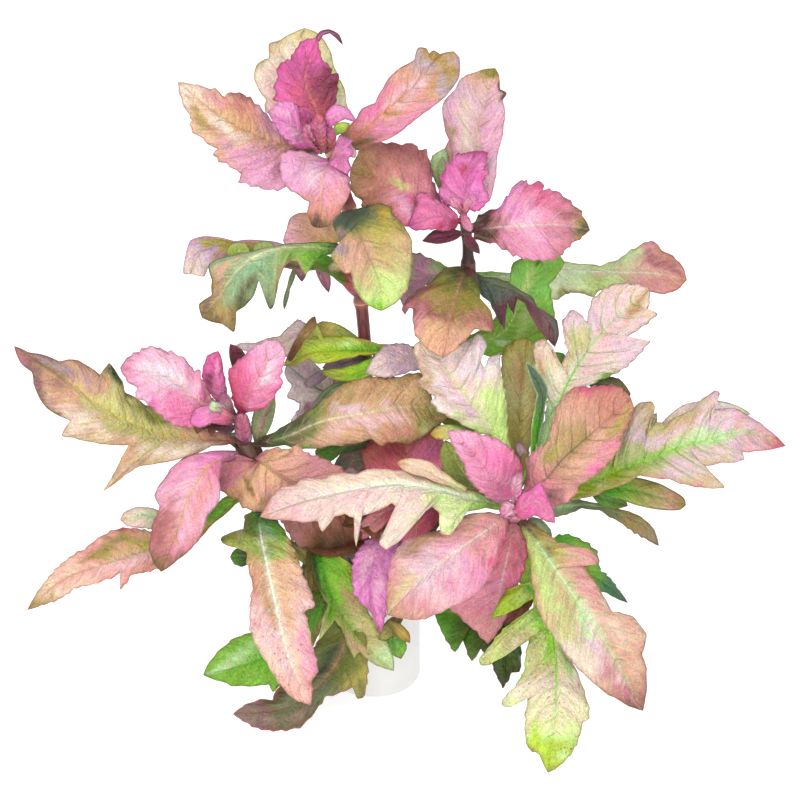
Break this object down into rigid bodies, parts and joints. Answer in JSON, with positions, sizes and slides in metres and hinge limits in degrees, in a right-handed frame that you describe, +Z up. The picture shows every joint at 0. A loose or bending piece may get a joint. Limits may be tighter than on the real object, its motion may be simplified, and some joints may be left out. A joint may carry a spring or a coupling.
{
  "type": "potted aquarium plant",
  "caption": "Hygrophila aquarium plant in a small white cup: upright maroon stems with whorls of lobed, toothed pink, olive and green leaves spreading and hanging over the cup.",
  "frame": {"origin": "centre of the cup's flat underside", "axes": "+Z up along the cup's axis, -Y towards the side that the leaves face, +X to its right"},
  "size_m": [0.3195, 0.155, 0.2902],
  "materials": {
    "cup": "smooth glossy white",
    "medium": "dark crumbly plug with pale grains",
    "stem": "fresh maroon stem, slightly glossy",
    "leaf_pink": "satin leaf, pink with lilac and olive edges",
    "leaf_pale": "satin leaf, cream pink with green veins",
    "leaf_magenta": "satin young leaf, magenta pink",
    "leaf_olive": "satin leaf, olive brown and pink",
    "leaf_green": "satin leaf, green with pink lobes",
    "leaf_lilac": "satin leaf underside, lilac grey",
    "leaf_salmon": "satin leaf, brownish pink",
    "leaf_teal": "satin leaf, grey green with maroon underside",
    "leaf_leafgreen": "satin leaf, yellow green",
    "leaf_peach": "satin leaf, pale peach pink with green midrib",
    "leaf_darkgreen": "satin leaf, dark green",
    "leaf_crimson": "satin leaf, crimson pink"
  },
  "bodies": {
    "root": {"cup": "cup", "medium": "medium", "stem_a": "stem", "stem_b": "stem", "stem_c": "stem", "stem_d": "stem", "stem_e": "stem", "leaf_a_left": "leaf_pink", "leaf_a_front": "leaf_pink", "leaf_a_back": "leaf_pale", "leaf_a_up": "leaf_magenta", "leaf_a_young": "leaf_magenta", "leaf_a_right": "leaf_pink", "leaf_a_lower_front": "leaf_olive", "leaf_a_lower_left": "leaf_green", "leaf_a_lower_back": "leaf_pink", "leaf_a_arched": "leaf_lilac", "leaf_b_left": "leaf_salmon", "leaf_b_back": "leaf_pale", "leaf_b_up": "leaf_magenta", "leaf_b_young": "leaf_magenta", "leaf_b_right": "leaf_pink", "leaf_b_lower_front": "leaf_olive", "leaf_b_lower_right": "leaf_teal", "leaf_b_lower_left": "leaf_green", "leaf_b_low_green": "leaf_leafgreen", "leaf_b_low_right": "leaf_green", "leaf_c_left": "leaf_olive", "leaf_c_young_left": "leaf_pink", "leaf_c_young_up": "leaf_magenta", "leaf_c_young_right": "leaf_pink", "leaf_c_right": "leaf_olive", "leaf_c_front_left": "leaf_pink", "leaf_c_front_right": "leaf_salmon", "leaf_c_low_left": "leaf_peach", "leaf_mid_green": "leaf_leafgreen", "leaf_mid_oval": "leaf_lilac", "leaf_mid_lilac": "leaf_lilac", "leaf_hanging_pink": "leaf_peach", "leaf_hanging_green": "leaf_leafgreen", "leaf_hanging_olive": "leaf_darkgreen", "leaf_hanging_pale": "leaf_leafgreen", "leaf_d_young": "leaf_pink", "leaf_d_up_right": "leaf_salmon", "leaf_d_right": "leaf_pale", "leaf_d_back_left": "leaf_pale", "leaf_d_back_brown": "leaf_olive", "leaf_d_back_right": "leaf_pale", "leaf_d_finger": "leaf_peach", "leaf_d_front_left": "leaf_pink", "leaf_d_front": "leaf_pink", "leaf_d_front_low": "leaf_leafgreen", "leaf_d_grey": "leaf_teal", "leaf_d_dark": "leaf_darkgreen", "leaf_e_back": "leaf_crimson", "leaf_e_left": "leaf_magenta", "leaf_e_right": "leaf_pink", "leaf_e_low": "leaf_crimson", "leaf_e_dark": "leaf_darkgreen"}
  },
  "joints": []
}
